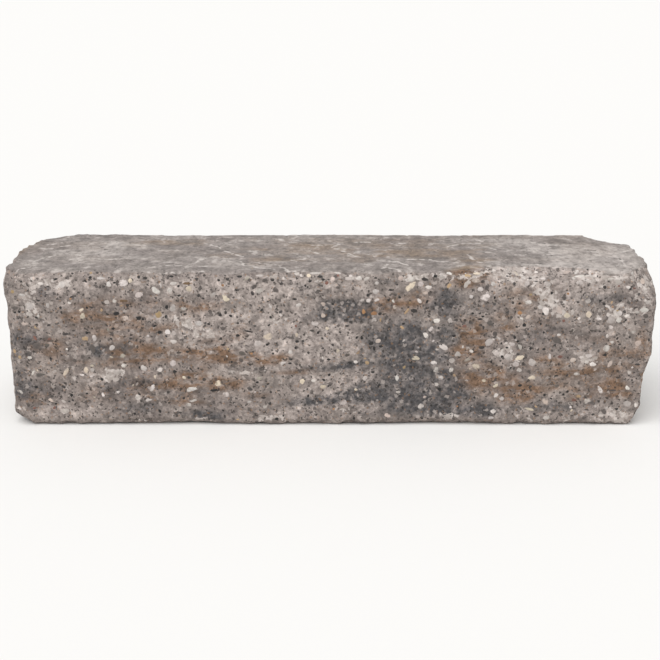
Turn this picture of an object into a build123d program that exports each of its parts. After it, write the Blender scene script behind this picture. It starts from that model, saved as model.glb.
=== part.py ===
"""Tumbled concrete kerb stone: one dry-pressed block with worn arrises and broken ends.

The stone lies along X on its bed, with its front face towards -Y and the origin at the middle of the bed.
The end section, carried along the length, makes the four long faces and their worn arrises. The front
elevation and the plan then trim the ends. Spalls, the shallow shells that a tumbling drum knocks off, are
scooped out of the arrises last, and so are the knocked corners. All sizes are in millimetres.
"""

import os
from math import cos, hypot, radians, sin

from build123d import *

# Overall size
length = 600
depth = 150
height = 150

# End section: worn radius of each long arris
top_front_arris = 5
top_back_arris = 5
bed_front_arris = 6
bed_back_arris = 8

# Trims: the elevation and the plan pass this far outside the long faces, so they meet them at an angle
trim_margin = 1

# Left end in the front elevation: how far foot and brow stand back from the end, and their rounding
left_foot_draw = 3
left_foot_radius = 16
left_brow_draw = 0.5
left_brow_radius = 4
left_face_radius = 60
left_face_shares = (0.30, 0.76)  # of the height, between which the end is upright

# Right end in the front elevation: a knocked foot, a broken hollow above it, a belly and the brow
right_foot_draw = 19
right_foot_radius = 6
right_hollow_draw = 8
right_hollow_radius = 12
right_hollow_shares = (0.135, 0.345)  # of the height
right_belly_radius = 20
right_belly_shares = (0.45, 0.77)  # of the height, between which the end stands out furthest
right_brow_draw = 4.5
right_brow_radius = 4

# Plan: each end leans out from its front and back corners to a bow, which the elevation cuts off flat
end_bow = 2
left_bow_share = 0.05  # of the half depth
left_front_draw = 2.75
left_front_radius = 10
left_back_draw = 12
left_back_radius = 65
right_bow_share = 0.05  # of the half depth
right_front_draw = 0.5
right_front_radius = 10
right_knock_draw = 6.5
right_knock_length = 56
right_knock_depth = 44
right_knock_radius = 20

# Spalls: how far each kind reaches along its arris and how deep it bites below the worn arris
broad_spall_reach = 150
broad_spall_bite = 8
long_spall_reach = 170
long_spall_bite = 2.5
short_spall_reach = 54
short_spall_bite = 2.2
end_spall_reach = 62
end_spall_bite = 4
upright_spall_reach = 90
upright_spall_bite = 2

# Which way the spalls face, in degrees
even_lean = 45  # as much of both faces
broad_lean = 22  # from upright towards the front, so that it wears the top most
end_lean = 30  # from the end towards the front, so that it wears the end most

# Places of the spalls along the long arrises, as shares of the half length from the middle
top_front_broad_shares = (0.60,)
top_front_long_shares = (-0.72, -0.08)
top_front_short_shares = (-0.40, 0.22)
top_back_long_shares = (-0.45, 0.40)
top_back_short_shares = (-0.12, 0.72)
bed_front_long_shares = (-0.50, 0.36)
bed_front_short_shares = (-0.06, 0.76)
bed_back_long_shares = (-0.30, 0.52)
bed_back_short_shares = (-0.74, 0.12)

# Places of the spalls up the upright front arrises, as shares of the height
left_front_shares = (0.62,)
right_front_shares = (0.25,)

# Knocked corners: the hollow's radius, its bite below the sharp corner, and which way each corner points
corner_knock_radius = 120
top_left_bite = 13
top_right_bite = 21
bed_left_bite = 14
left_back_bite = 24
right_back_bite = 34
knocked_corners = (
    ((-1, -1, 1), top_left_bite),
    ((1, -1, 1), top_right_bite),
    ((-1, -1, -1), bed_left_bite),
    ((-1, 1, 1), left_back_bite),
    ((-1, 1, -1), left_back_bite),
    ((1, 1, 1), right_back_bite),
    ((1, 1, -1), right_back_bite),
)

half_length = length / 2
half_depth = depth / 2


def scoop(point, outward, radius, bite):
    """Scoops a round hollow that sinks to the bite below a point, seen from outside."""
    with Locations(point + outward * (radius - bite)):
        Sphere(radius, mode=Mode.SUBTRACT)


def spall(corner, sides, lean, arris_radius, reach, bite):
    """Scoops a spall out of a rounded arris, at a point given as its sharp corner. The spall faces from the
    first side of the arris towards the second by its lean."""
    first, second = sides
    outward = first * cos(radians(lean)) + second * sin(radians(lean))
    worn_point = corner + (outward - first - second) * arris_radius
    scoop(worn_point, outward, hypot(reach / 2, bite) ** 2 / (2 * bite), bite)


def spall_long_arris(shares, front, top, arris_radius, reach, bite, lean=even_lean):
    """Scoops spalls along one long arris, at the front or back, along the top or the bed."""
    upward = Vector(0, 0, 1 if top else -1)
    sideward = Vector(0, -1 if front else 1, 0)
    for share in shares:
        corner = Vector(share * half_length, sideward.Y * half_depth, height if top else 0)
        spall(corner, (upward, sideward), lean, arris_radius, reach, bite)


def spall_upright_arris(shares, left, draw, arris_radius, reach, bite, lean=even_lean):
    """Scoops spalls up one upright front arris, which stands back from its end by the draw."""
    endward = Vector(-1 if left else 1, 0, 0)
    frontward = Vector(0, -1, 0)
    for share in shares:
        corner = Vector(endward.X * (half_length - draw), -half_depth, share * height)
        spall(corner, (endward, frontward), lean, arris_radius, reach, bite)


with BuildPart() as kerb_stone:
    # End section, carried along past both ends
    with BuildSketch(Plane.YZ):
        with BuildLine():
            FilletPolyline(
                (-half_depth, 0),
                (half_depth, 0),
                (half_depth, height),
                (-half_depth, height),
                radius=[bed_front_arris, bed_back_arris, top_back_arris, top_front_arris],
                close=True,
            )
        make_face()
    extrude(amount=length, both=True)

    # Front elevation, carried through the depth
    with BuildSketch(Plane.XZ):
        left_low, left_high = [share * height for share in left_face_shares]
        hollow_low, hollow_high = [share * height for share in right_hollow_shares]
        belly_low, belly_high = [share * height for share in right_belly_shares]
        with BuildLine():
            FilletPolyline(
                (-half_length + left_foot_draw, -trim_margin),
                (half_length - right_foot_draw, -trim_margin),
                (half_length - right_hollow_draw, hollow_low),
                (half_length - right_hollow_draw, hollow_high),
                (half_length, belly_low),
                (half_length, belly_high),
                (half_length - right_brow_draw, height + trim_margin),
                (-half_length + left_brow_draw, height + trim_margin),
                (-half_length, left_high),
                (-half_length, left_low),
                radius=[
                    left_foot_radius,
                    right_foot_radius,
                    right_hollow_radius,
                    right_hollow_radius,
                    right_belly_radius,
                    right_belly_radius,
                    right_brow_radius,
                    left_brow_radius,
                    left_face_radius,
                    left_face_radius,
                ],
                close=True,
            )
        make_face()
    extrude(amount=depth, both=True, mode=Mode.INTERSECT)

    # Plan, carried up past the top
    with BuildSketch(Plane.XY):
        with BuildLine():
            FilletPolyline(
                (-half_length + left_front_draw, -half_depth - trim_margin),
                (half_length - right_front_draw, -half_depth - trim_margin),
                (half_length + end_bow, right_bow_share * half_depth),
                (half_length - right_knock_draw, half_depth - right_knock_depth),
                (half_length - right_knock_length, half_depth + trim_margin),
                (-half_length + left_back_draw, half_depth + trim_margin),
                (-half_length - end_bow, left_bow_share * half_depth),
                radius=[
                    left_front_radius,
                    right_front_radius,
                    end_bow,
                    right_knock_radius,
                    right_knock_radius,
                    left_back_radius,
                    end_bow,
                ],
                close=True,
            )
        make_face()
    extrude(amount=height + trim_margin, both=True, mode=Mode.INTERSECT)

    # Spalls
    broad = {"reach": broad_spall_reach, "bite": broad_spall_bite, "lean": broad_lean}
    long = {"reach": long_spall_reach, "bite": long_spall_bite}
    short = {"reach": short_spall_reach, "bite": short_spall_bite}
    end = {"reach": end_spall_reach, "bite": end_spall_bite, "lean": end_lean}
    upright = {"reach": upright_spall_reach, "bite": upright_spall_bite}
    top_front = {"front": True, "top": True, "arris_radius": top_front_arris}
    top_back = {"front": False, "top": True, "arris_radius": top_back_arris}
    bed_front = {"front": True, "top": False, "arris_radius": bed_front_arris}
    bed_back = {"front": False, "top": False, "arris_radius": bed_back_arris}
    spall_long_arris(top_front_broad_shares, **top_front, **broad)
    spall_long_arris(top_front_long_shares, **top_front, **long)
    spall_long_arris(top_front_short_shares, **top_front, **short)
    spall_long_arris(top_back_long_shares, **top_back, **long)
    spall_long_arris(top_back_short_shares, **top_back, **short)
    spall_long_arris(bed_front_long_shares, **bed_front, **long)
    spall_long_arris(bed_front_short_shares, **bed_front, **short)
    spall_long_arris(bed_back_long_shares, **bed_back, **long)
    spall_long_arris(bed_back_short_shares, **bed_back, **short)
    left_front = {"left": True, "draw": left_front_draw, "arris_radius": left_front_radius}
    right_front = {"left": False, "draw": right_front_draw, "arris_radius": right_front_radius}
    spall_upright_arris(left_front_shares, **left_front, **upright)
    spall_upright_arris(right_front_shares, **right_front, **end)

    # Knocked corners
    for (toward_x, toward_y, toward_z), bite in knocked_corners:
        corner = Vector(toward_x * half_length, toward_y * half_depth, height if toward_z > 0 else 0)
        outward = Vector(toward_x, toward_y, toward_z).normalized()
        scoop(corner, outward, corner_knock_radius, bite)

kerb_stone.part.label = "kerb_stone"
os.makedirs("parts", exist_ok=True)
export_step(kerb_stone.part, "parts/kerb_stone.step")
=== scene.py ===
"""A tumbled concrete kerb stone on a pale studio floor.

The stone's skin is a grid on six faces, fitted onto the solid and then roughened as a tumbling drum leaves it.
Gravel and crushed basalt are set into that skin as two pieces of their own. Lengths are in millimetres times
MM, and places on the visible faces are pixels of the photograph, which the camera's own rays carry onto the
stone.
"""

from itertools import product

import bpy
import numpy as np
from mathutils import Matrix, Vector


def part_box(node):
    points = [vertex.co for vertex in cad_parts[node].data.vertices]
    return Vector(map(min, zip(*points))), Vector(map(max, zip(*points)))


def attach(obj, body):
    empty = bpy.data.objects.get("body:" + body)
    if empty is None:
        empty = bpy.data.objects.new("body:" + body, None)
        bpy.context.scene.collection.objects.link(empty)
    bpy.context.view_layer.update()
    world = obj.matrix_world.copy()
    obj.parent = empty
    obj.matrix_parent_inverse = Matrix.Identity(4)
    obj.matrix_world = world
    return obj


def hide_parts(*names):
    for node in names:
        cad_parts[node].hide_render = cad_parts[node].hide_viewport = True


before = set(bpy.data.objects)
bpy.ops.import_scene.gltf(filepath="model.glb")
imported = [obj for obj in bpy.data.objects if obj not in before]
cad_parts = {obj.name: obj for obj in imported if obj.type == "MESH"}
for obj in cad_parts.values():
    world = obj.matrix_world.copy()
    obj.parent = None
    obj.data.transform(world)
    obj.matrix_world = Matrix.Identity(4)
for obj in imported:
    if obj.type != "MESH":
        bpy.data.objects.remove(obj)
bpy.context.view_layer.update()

MM = 0.001
node_name = "kerb_stone"
solid = bpy.data.objects[node_name]
block_low, block_high = (np.array(corner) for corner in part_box(node_name))

# Camera: where the photograph was taken from
photo_px = 660
camera_place = np.array([0, -1089, 428]) * MM
camera_fall = np.radians(18.18)  # how far below level it looks
lens_mm = 63.35
sensor_mm = 36
toward_camera = np.array([0, -np.cos(camera_fall), np.sin(camera_fall)])
camera_right = np.array([1.0, 0, 0])
camera_up = np.cross(toward_camera, camera_right)
focal_px = lens_mm / sensor_mm * photo_px


def pixel_rays(pixels):
    """The camera's rays through pixels: straight ahead, plus the offsets across and up over the focal
    length."""
    offset = (pixels - photo_px / 2) / focal_px
    return -toward_camera + offset[..., :1] * camera_right - offset[..., 1:2] * camera_up


def pixels_of(points):
    """The pixels that points fall on: offset across and up over distance ahead, times the focal length."""
    run = points - camera_place
    ahead = -run @ toward_camera
    across = run @ camera_right / ahead
    up = run @ camera_up / ahead
    return photo_px / 2 + focal_px * np.stack([across, -up], axis=-1)


tiny = 1e-15  # keeps a vector without length from dividing by nought


def unit(vectors):
    """Vectors over their own lengths."""
    return vectors / np.maximum(np.linalg.norm(vectors, axis=-1, keepdims=True), tiny)


# Random fields, the same on every run
lattice_factors = np.array([0x9E3779B97F4A7C15, 0xC2B2AE3D27D4EB4F, 0x165667B19E3779F9], dtype=np.uint64)
seed_factor = 0x27D4EB2F165667C5
seed_step = 17  # between the seeds of one layer of noise and the next


def smooth_step(low, high, values):
    """0 up to low, 1 from high and 3t^2 - 2t^3 between them; with high below low it falls instead."""
    t = np.clip((values - low) / (high - low), 0, 1)
    return t * t * (3 - 2 * t)


def lattice_random(cells, seed):
    """A number from 0 to 1 for each cell of a cubic lattice: its three whole numbers and the seed, each times
    a large odd number, summed and then stirred by shifts and a product."""
    keys = cells.astype(np.int64).astype(np.uint64)
    mixed = (keys * lattice_factors).sum(axis=-1, dtype=np.uint64) + np.uint64(seed * seed_factor % 2**64)
    mixed ^= mixed >> np.uint64(31)
    mixed *= lattice_factors[1]
    mixed ^= mixed >> np.uint64(29)
    return (mixed >> np.uint64(11)) / 2.0**53


def noise(points, wavelength, seed):
    """A smooth field from -1 to 1: random numbers at the corners of a cubic lattice, one wavelength apart,
    blended across each cell by the weights 6t^5 - 15t^4 + 10t^3."""
    place = points / wavelength
    cell = np.floor(place)
    t = place - cell
    fade = t**3 * (t * (6 * t - 15) + 10)
    field = 0
    for corner in product((0, 1), repeat=3):
        weight = np.where(corner, fade, 1 - fade).prod(axis=-1)
        field = field + weight * lattice_random(cell + corner, seed)
    return 2 * field - 1


def layered_noise(points, wavelength, layers, seed):
    """Noise fields summed, each with half the wavelength and half the height of the one before."""
    return sum(noise(points, wavelength / 2**k, seed + seed_step * k) / 2**k for k in range(layers))


def nearest_seed(points, spacing, seed):
    """The nearest of points scattered one to a cubic cell: how far off it is, in spacings, and its own random
    number."""
    place = points / spacing
    home = np.floor(place)
    gap = np.full(len(points), np.inf)
    own = np.zeros(len(points))
    for step in product((-1, 0, 1), repeat=3):
        cell = home + step
        centre = cell + np.stack([lattice_random(cell, seed + k) for k in range(3)], axis=-1)
        reach = np.linalg.norm(place - centre, axis=-1)
        own = np.where(reach < gap, lattice_random(cell, seed + 3), own)
        gap = np.minimum(gap, reach)
    return gap, own


# Meshes


def add_piece(name, points, corners, starts, smooth):
    """Puts arrays into a new mesh object: points, each face's corners in a row, and where each face starts."""
    mesh = bpy.data.meshes.new(name)
    mesh.vertices.add(len(points))
    mesh.vertices.foreach_set("co", points.ravel())
    mesh.loops.add(len(corners))
    mesh.loops.foreach_set("vertex_index", corners)
    mesh.polygons.add(len(starts))
    mesh.polygons.foreach_set("loop_start", starts)
    mesh.polygons.foreach_set("use_smooth", np.full(len(starts), smooth))
    mesh.update(calc_edges=True)
    piece = bpy.data.objects.new(name, mesh)
    bpy.context.scene.collection.objects.link(piece)
    return piece


def add_map(piece, places):
    """Gives a piece its own texture map, one place for each face corner."""
    layer = piece.data.uv_layers.new(name="OFBake")
    layer.data.foreach_set("uv", places.ravel())


def add_value(piece, name, values):
    """Gives each vertex of a piece a named number, or a colour where there are three."""
    if values.ndim == 1:
        piece.data.attributes.new(name, "FLOAT", "POINT").data.foreach_set("value", values)
    else:
        with_alpha = np.column_stack([values, np.ones(len(values))])
        piece.data.attributes.new(name, "FLOAT_COLOR", "POINT").data.foreach_set("color", with_alpha.ravel())


def move_points(piece, points):
    """Moves a piece's vertices to new places."""
    piece.data.vertices.foreach_set("co", points.ravel())
    piece.data.update()


def fitted(piece, points, target):
    """Moves a piece's points to the nearest places on the target's surface, and returns them."""
    move_points(piece, points)
    wrap = piece.modifiers.new("wrap", "SHRINKWRAP")
    wrap.target = target
    evaluated = piece.evaluated_get(bpy.context.evaluated_depsgraph_get())
    places = np.empty(points.size)
    evaluated.data.vertices.foreach_get("co", places)
    piece.modifiers.remove(wrap)
    return places.reshape(-1, 3)


# The stone's skin: a grid on six faces, relaxed on the solid so that its cells are even, then worn a little
skin_cells = np.array([300, 80, 64])  # along X, Y and Z
skin_crowding = np.array([0.10, 0.20, 0.20])
relax_rounds = 24
relax_share = 0.5
wear_rounds = 4

# The skin's flat sheet: its width, the margin in each face, and the lower left corner in millimetres of the
# face across each axis, at its low and high end
sheet_width = 750 * MM
sheet_margin = 1.5 * MM
sheet_places = {
    (0, 0): (0, 600), (0, 1): (150, 600),
    (1, 0): (0, 0), (1, 1): (0, 150),
    (2, 0): (0, 300), (2, 1): (0, 450),
}


def crowded(count, crowding):
    """Places from 0 to 1, closer together towards both ends: t runs evenly from -1 to 1, and
    t + crowding (t - t^3) is halved and moved up."""
    t = np.linspace(-1, 1, count + 1)
    return (t + crowding * (t - t**3) + 1) / 2


def block_skin(counts):
    """Quads that wrap a block: on each of its six faces a grid of two of the counts, and faces share the
    vertices of their common arrises. Gives each vertex's share of the block along X, Y and Z, the quads, and
    the place of each quad corner on a flat sheet that holds the six faces side by side."""
    size = block_high - block_low
    places = np.stack(np.indices(counts + 1), axis=-1)
    outside = ((places == 0) | (places == counts)).any(axis=-1)
    ids = np.full(counts + 1, -1)
    ids[outside] = np.arange(outside.sum())
    rulers = [crowded(count, crowding) for count, crowding in zip(counts, skin_crowding)]
    shares = np.stack([ruler[places[outside][:, k]] for k, ruler in enumerate(rulers)], axis=-1)
    quads, sheet = [], []
    for axis, end in product(range(3), (0, 1)):
        grid = ids.take(end * counts[axis], axis=axis)
        face = np.stack([grid[:-1, :-1], grid[1:, :-1], grid[1:, 1:], grid[:-1, 1:]], axis=-1).reshape(-1, 4)
        # X and Z of the front and back turn the other way round than the two directions of the other faces
        if (end == 1) == (axis == 1):
            face = face[:, ::-1]
        along = [k for k in range(3) if k != axis]
        inset = sheet_margin + shares[:, along] * (size[along] - 2 * sheet_margin)
        quads.append(face)
        sheet.append((np.array(sheet_places[axis, end]) * MM + inset[face]) / sheet_width)
    return shares, np.concatenate(quads), np.concatenate(sheet)


def vertex_normals(points, quads):
    """Each vertex's outward direction: the sum over its quads of the cross product of their diagonals."""
    corners = points[quads]
    across = np.cross(corners[:, 2] - corners[:, 0], corners[:, 3] - corners[:, 1])
    total = [sum(np.bincount(ring, part, len(points)) for ring in quads.T) for part in across.T]
    return unit(np.stack(total, axis=-1))


def neighbour_mean(values, links):
    """The mean of each vertex's neighbours along the grid's lines."""
    first, second = links.T
    count = np.bincount(first, minlength=len(values)) + np.bincount(second, minlength=len(values))
    total = [
        np.bincount(first, part[second], len(values)) + np.bincount(second, part[first], len(values))
        for part in values.T
    ]
    return np.stack(total, axis=-1) / count[:, None]


shares, quads, sheet = block_skin(skin_cells)
points = block_low + shares * (block_high - block_low)
stone = add_piece("tumbled_stone", points, quads.ravel(), np.arange(len(quads)) * 4, True)
add_map(stone, sheet)
edges = np.empty(2 * len(stone.data.edges), dtype=np.int64)
stone.data.edges.foreach_get("vertices", edges)
links = edges.reshape(-1, 2)

points = fitted(stone, points, solid)
for _ in range(relax_rounds):
    pull = neighbour_mean(points, links) - points
    normals = vertex_normals(points, quads)
    pull -= (pull * normals).sum(axis=-1, keepdims=True) * normals
    points = fitted(stone, points + relax_share * pull, solid)
for _ in range(wear_rounds):
    points = points + relax_share * (neighbour_mean(points, links) - points)

# Masks: worn arris, smooth pressed skin and rough face. Blurred outward directions get shorter where the
# surface turns, which tells an arris from a face.
blur_rounds = 8
arris_lengths = (0.985, 0.91)  # of the blurred directions, where wear begins and where it is full
skin_drop = 0.9  # millimetres below the flat at which the pressed skin ends
skin_drop_rolled = 1.4  # and as much more where it turns down over an arris
skin_drop_blur = 0.4
skin_level = 0.96  # how squarely the pressed skin faces up or down
skin_level_rolled = 0.30  # and as much less over an arris
skin_level_blur = 0.03
skin_tear = 0.45  # millimetres by which the skin's edge wanders, and the wavelength of that
skin_tear_wavelength = 11

normals = vertex_normals(points, quads)
blurred = normals
for _ in range(blur_rounds):
    blurred = neighbour_mean(blurred, links)
base_points = points
base_normals = unit(blurred)
mm_points = points / MM
upward = normals[:, 2]
wear = smooth_step(*arris_lengths, np.linalg.norm(blurred, axis=-1))
rolled = smooth_step(0.02, 0.2, wear) * smooth_step(0, 0.3, upward)  # the skin turns down over an arris
off_flat = np.minimum(block_high[2] - points[:, 2], points[:, 2] - block_low[2]) / MM
off_flat += skin_tear * layered_noise(mm_points, skin_tear_wavelength, 3, 10)
past_edge = off_flat - skin_drop - skin_drop_rolled * rolled
square_on = np.abs(upward) - skin_level + skin_level_rolled * rolled
pressed = smooth_step(skin_drop_blur, -skin_drop_blur, past_edge)
pressed *= smooth_step(-skin_level_blur, skin_level_blur, square_on)
rough = 1 - pressed

# Relief, in millimetres along the outward direction
at_end = smooth_step(280, 296, np.abs(mm_points[:, 0]))  # millimetres from the middle
bevel = smooth_step(0.95, 0.90, upward) * smooth_step(0.45, 0.70, upward)
on_bed = smooth_step(-0.80, -0.95, upward)
foot_chips = 2.4  # how much deeper chips go along the bed's arrises
brow_chips = 0.5  # and along the top's
deeper = 1 + foot_chips * smooth_step(-0.2, -0.5, upward) + brow_chips * smooth_step(0.3, 0.6, upward)
arris_loss = 0.2
bed_hollow = 0.6  # how far the bed stands back inside its rim
share_blur = 0.06
waves = [  # where, height, wavelength, seed
    (rough, 0.50, 42, 1), (rough, 0.45, 13, 2), (rough, 0.24, 5, 3),
    (rough * at_end, 1.1, 24, 12), (rough * at_end, 0.8, 9, 13),
    (bevel, 0.8, 15, 14), (bevel, 0.6, 7, 15),
    (pressed, 0.22, 60, 4), (pressed, 0.08, 8, 5),
    (wear, 0.80, 19, 6), (wear, 0.80, 7, 7),
]
hollows = [  # where, spacing, depth, share of the places, radii of rim and bottom in spacings, seed
    (wear * deeper, 16, 2.6, 0.34, 0.62, 0.12, 8),
    (wear * deeper, 8, 1.4, 0.40, 0.62, 0.12, 11),
    (rough, 10, 0.9, 0.24, 0.36, 0.08, 9),
]
height = -arris_loss * wear
for where, rise, wavelength, seed in waves:
    height += rise * where * layered_noise(mm_points, wavelength, 2, seed)
for where, spacing, depth, share, rim, bottom, seed in hollows:
    gap, own = nearest_seed(mm_points, spacing, seed)
    height -= depth * where * smooth_step(share, share - share_blur, own) * smooth_step(rim, bottom, gap)
height = height * (1 - on_bed) + on_bed * (np.minimum(height, 0) - bed_hollow)
points = points + height[:, None] * MM * normals
points[:, 2] = np.maximum(points[:, 2], block_low[2])
move_points(stone, points)

# Colour clouds of the front and top: pixel, half length, half height, strength, any tilt in degrees
brown_clouds = [
    (112, 318, 52, 20, 0.27), (140, 305, 58, 6, 0.4), (66, 345, 12, 22, 0.22), (205, 306, 20, 5, 0.8),
    (215, 354, 34, 7, 1.0), (132, 357, 24, 6, 0.9), (268, 360, 30, 5, 0.8), (200, 382, 24, 8, 1.0),
    (228, 384, 18, 6, 0.8), (35, 400, 24, 14, 0.4), (158, 394, 24, 8, 0.6), (100, 395, 30, 10, 0.25),
    (374, 309, 13, 6, 0.6), (398, 304, 34, 10, 0.6), (412, 295, 16, 9, 0.5), (465, 277, 20, 8, 1.0),
    (473, 332, 16, 9, 1.3, -25), (465, 355, 18, 16, 0.6), (482, 380, 20, 12, 0.85), (520, 395, 24, 11, 1.0),
    (578, 394, 16, 8, 0.75), (618, 390, 20, 10, 1.1), (618, 360, 32, 12, 0.45), (530, 300, 28, 22, 0.55),
    (505, 320, 16, 14, 0.65), (560, 375, 30, 14, 0.45), (645, 340, 8, 16, 0.35), (240, 330, 30, 10, 0.25),
    (285, 252, 110, 13, 0.45), (440, 252, 70, 13, 0.45), (150, 243, 50, 4, 0.35), (340, 243, 60, 4, 0.4),
    (470, 268, 16, 5, 0.4), (140, 345, 110, 42, 0.24), (570, 355, 80, 46, 0.25), (180, 356, 62, 5, 0.5),
    (90, 362, 26, 4, 0.6), (180, 401, 30, 4, 0.5), (300, 372, 24, 3, 0.5), (250, 395, 26, 4, 0.4),
    (150, 330, 26, 5, 0.4), (60, 318, 20, 6, 0.3), (590, 372, 26, 5, 0.6), (545, 362, 20, 5, 0.5),
    (502, 374, 30, 10, 0.8, -35), (165, 385, 52, 6, 0.5), (42, 352, 32, 20, 0.16),
]
anthracite_clouds = [
    (345, 314, 25, 9, 2.0, 8), (340, 305, 18, 3, 1.1, -6), (425, 348, 46, 26, 0.92), (408, 392, 42, 15, 1.0),
    (455, 303, 28, 12, 1.0), (352, 397, 54, 6, 1.7, 6), (400, 330, 24, 12, 0.8), (460, 394, 26, 22, 0.58),
    (334, 367, 36, 3.5, 0.95, 7), (122, 349, 22, 7, 1.0), (30, 345, 26, 14, 0.65), (48, 290, 12, 8, 0.6),
    (135, 386, 34, 9, 0.85, 5), (34, 388, 24, 20, 0.75), (212, 415, 22, 6, 1.1), (130, 405, 30, 8, 0.5),
    (605, 300, 40, 6, 0.35), (560, 340, 40, 18, 0.35), (600, 400, 40, 14, 0.3), (620, 374, 16, 7, 0.6),
    (380, 283, 24, 6, 0.5), (190, 395, 30, 8, 0.4), (300, 290, 30, 8, 0.25), (545, 410, 30, 8, 0.4),
    (410, 370, 40, 12, 0.6), (452, 408, 50, 9, 0.45), (395, 411, 46, 7, 0.45), (98, 350, 9, 6, 0.8),
    (82, 312, 22, 16, 0.22), (545, 257, 40, 7, 0.2), (40, 262, 22, 6, 0.35), (370, 262, 40, 5, 0.25),
]
pale_grey_clouds = [
    (255, 325, 95, 36, 0.9), (165, 285, 110, 9, 1.0), (300, 288, 60, 9, 0.8), (200, 330, 24, 14, 0.7),
    (320, 390, 46, 28, 0.8), (325, 345, 42, 20, 0.7), (45, 300, 34, 24, 0.3), (545, 292, 56, 26, 0.8),
    (610, 275, 40, 12, 0.7), (100, 374, 34, 9, 0.5), (245, 400, 40, 18, 0.35), (75, 412, 40, 10, 0.5),
    (505, 352, 24, 16, 0.6), (590, 358, 24, 12, 0.6), (600, 416, 40, 8, 0.6), (440, 415, 20, 8, 0.7),
    (515, 415, 30, 7, 0.5), (85, 256, 50, 9, 0.8), (125, 246, 50, 5, 0.5), (250, 264, 50, 5, 0.4),
    (600, 254, 50, 11, 1.1), (520, 245, 70, 7, 1.0), (400, 266, 40, 4, 0.4), (502, 271, 26, 8, 1.2),
]
bloom_clouds = [
    (505, 270, 24, 8, 1.5), (546, 297, 38, 10, 1.25, -32), (592, 277, 20, 5, 1.0), (612, 278, 40, 9, 0.9),
    (506, 354, 26, 11, 1.1, -45), (590, 361, 15, 8, 1.25), (31, 306, 7, 20, 1.4), (46, 282, 26, 5, 0.9),
    (52, 291, 26, 10, 0.25), (113, 373, 10, 8, 0.9), (85, 372, 18, 6, 0.35), (66, 411, 14, 7, 0.9, 40),
    (150, 284, 50, 6, 0.7), (445, 416, 18, 6, 1.0), (608, 416, 22, 7, 1.0), (420, 277, 60, 5, 0.8),
    (330, 277, 30, 5, 0.5), (265, 275, 30, 4, 0.4), (140, 421, 18, 5, 0.8), (190, 418, 24, 5, 0.6),
    (645, 300, 9, 26, 0.7), (614, 315, 26, 9, 1.1), (275, 418, 30, 6, 0.6), (335, 415, 30, 8, 0.7),
    (175, 325, 24, 14, 0.5), (245, 372, 26, 5, 0.5), (540, 418, 40, 5, 0.5), (428, 335, 8, 12, 0.7),
    (520, 410, 16, 6, 0.5), (280, 320, 60, 30, 0.25), (130, 350, 100, 36, 0.22), (60, 372, 30, 8, 0.5),
    (200, 328, 26, 12, 0.4), (20, 410, 10, 12, 0.6), (630, 345, 12, 16, 0.4),
]
broad_cloud = 10  # half height in pixels from which a cloud's edge is fully ragged
densest_cloud = 1.2
cloud_levels = (0.10, 0.95)  # of the field, where a cloud begins and where it is full
cloud_tear = 0.40
free_fade = 0.7
rubbed_bloom = 0.5  # how pale an arris is rubbed

skin_pixels = pixels_of(base_points)
facing = (unit(camera_place - base_points) * base_normals).sum(axis=-1)
seen = smooth_step(0.08, 0.30, facing)
# Pixels by which the clouds' edges wander, along and down
ragged = np.stack([6 * layered_noise(mm_points, 18, 3, 21), 3 * layered_noise(mm_points, 14, 3, 22)], axis=-1)
streaks = mm_points * (0.40, 0.8, 1.0)  # draws noise out along the stone


def cloud_field(clouds):
    """How strongly clouds show at the skin's pixels: for each, strength times exp(-(u^2 + v^2)), where u and v
    are the pixel's offsets along and across the tilted cloud over its half sizes, moved by the ragged offsets,
    and less so in a thin cloud; summed."""
    field = np.zeros(len(skin_pixels))
    for x, y, half_length, half_height, strength, *tilt in clouds:
        offset = skin_pixels + ragged * min(1, half_height / broad_cloud) - (x, y)
        turn = np.radians(tilt[0]) if tilt else 0
        u = (offset[:, 0] * np.cos(turn) - offset[:, 1] * np.sin(turn)) / half_length
        v = (offset[:, 0] * np.sin(turn) + offset[:, 1] * np.cos(turn)) / half_height
        field += strength * np.exp(-(u * u + v * v))
    return np.clip(field, 0, densest_cloud)


def clouded(clouds, tear_wavelength, tear_seed, free_wavelength, free_level, free_seed, thinned=0):
    """Clouds with torn edges. Where the camera sees the stone, their field plus streaky noise is sharpened
    between two levels. Elsewhere they are free: streaky noise where it stands above a level, thinned by a
    share on the pressed skin."""
    field = cloud_field(clouds)
    tear = cloud_tear * layered_noise(streaks, tear_wavelength, 3, tear_seed) * smooth_step(0.02, 0.3, field)
    free = layered_noise(streaks, free_wavelength, 3, free_seed)
    free = smooth_step(free_level, free_level + free_fade, free) * (1 - thinned * pressed)
    return seen * smooth_step(*cloud_levels, field + tear) + (1 - seen) * free


# Wavelength and seed of the torn edges, then wavelength, level and seed of the free clouds
brown = clouded(brown_clouds, 13, 31, 24, 0.0, 32, thinned=0.3)
anthracite = clouded(anthracite_clouds, 12, 33, 22, 0.12, 34, thinned=0.5)
pale_grey = clouded(pale_grey_clouds, 15, 37, 30, -0.1, 38)
bloom = rough * clouded(bloom_clouds, 9, 35, 14, 0.25, 39)
bloom += rubbed_bloom * wear * (0.7 + 0.9 * layered_noise(mm_points, 12, 2, 36))
bloom = np.clip(bloom, 0, 1)

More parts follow.
